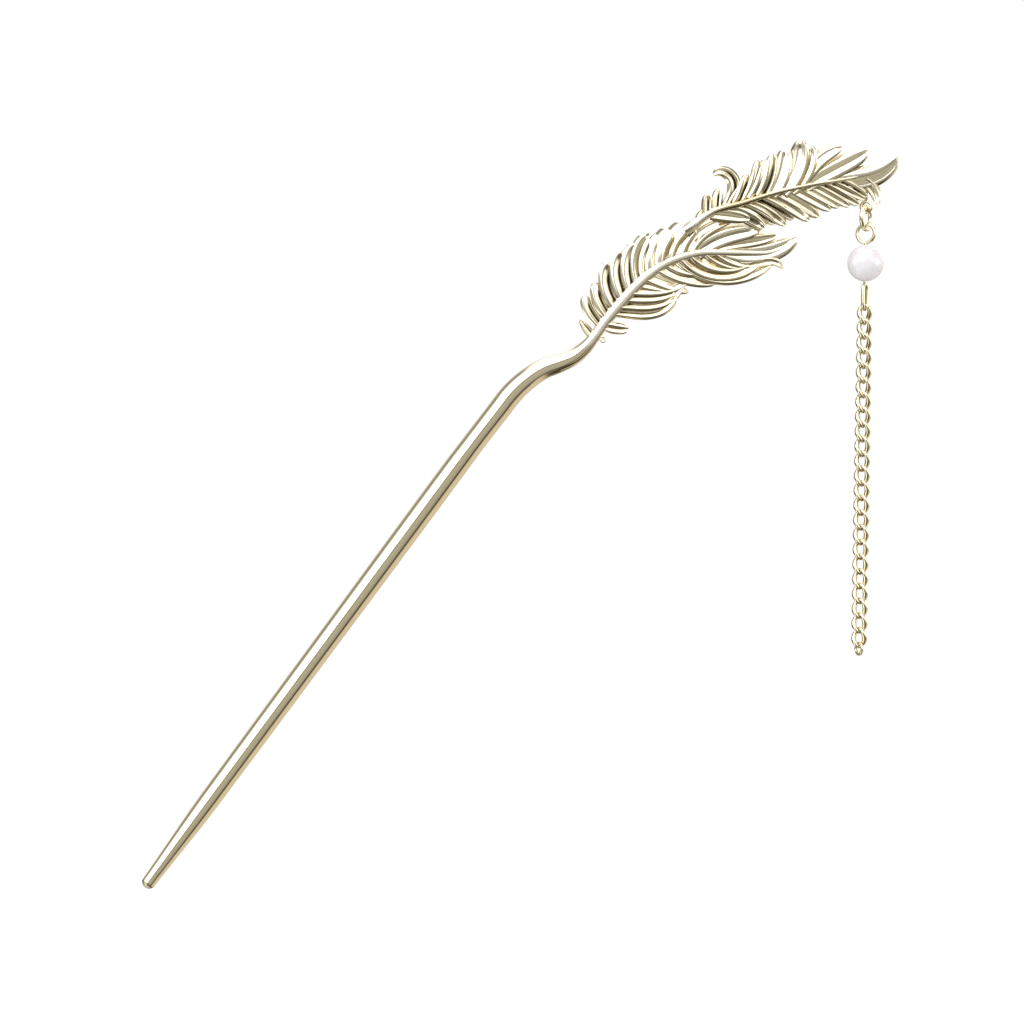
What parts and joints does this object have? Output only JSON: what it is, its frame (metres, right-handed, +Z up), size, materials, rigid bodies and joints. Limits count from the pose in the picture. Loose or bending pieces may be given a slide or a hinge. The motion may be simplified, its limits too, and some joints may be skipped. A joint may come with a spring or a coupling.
{
  "type": "hair stick",
  "caption": "Metal hair stick: tapered shaft, S-shaped neck and a head of two cast feathers, with a jump ring, a pearl and a fine curb chain hanging from its end.",
  "frame": {"origin": "on the shaft's axis at the place that the hair holds, 50 mm from the tip", "axes": "+X towards the feathers' end, +Z up along the line that the drop hangs on, +Y to the back; the feathers' front faces -Y"},
  "size_m": [0.1238, 0.006, 0.1263],
  "materials": {
    "plate": "polished pale champagne-gold plating, antiqued dark in the grooves",
    "wire": "polished pale gold plating",
    "pearl": "white imitation pearl with a soft nacre gloss"
  },
  "bodies": {
    "stick": {"casting": "plate"},
    "drop": {"jump_ring": "wire", "eye_pin": "wire", "pearl": "pearl", "link_01": "wire", "link_02": "wire", "link_03": "wire", "link_04": "wire", "link_05": "wire", "link_06": "wire", "link_07": "wire", "link_08": "wire", "link_09": "wire", "link_10": "wire", "link_11": "wire", "link_12": "wire", "link_13": "wire", "link_14": "wire", "link_15": "wire", "link_16": "wire", "link_17": "wire", "link_18": "wire", "link_19": "wire", "link_20": "wire", "link_21": "wire", "link_22": "wire", "link_23": "wire", "end_link": "wire"}
  },
  "joints": [
    {"name": "drop_swing", "type": "hinge", "parent": "stick", "child": "drop", "pos_m": [0.08926, 0.0008, 0.0746], "axis": [0.5, 0.866, 0], "range_deg": [-75, 55]}
  ]
}
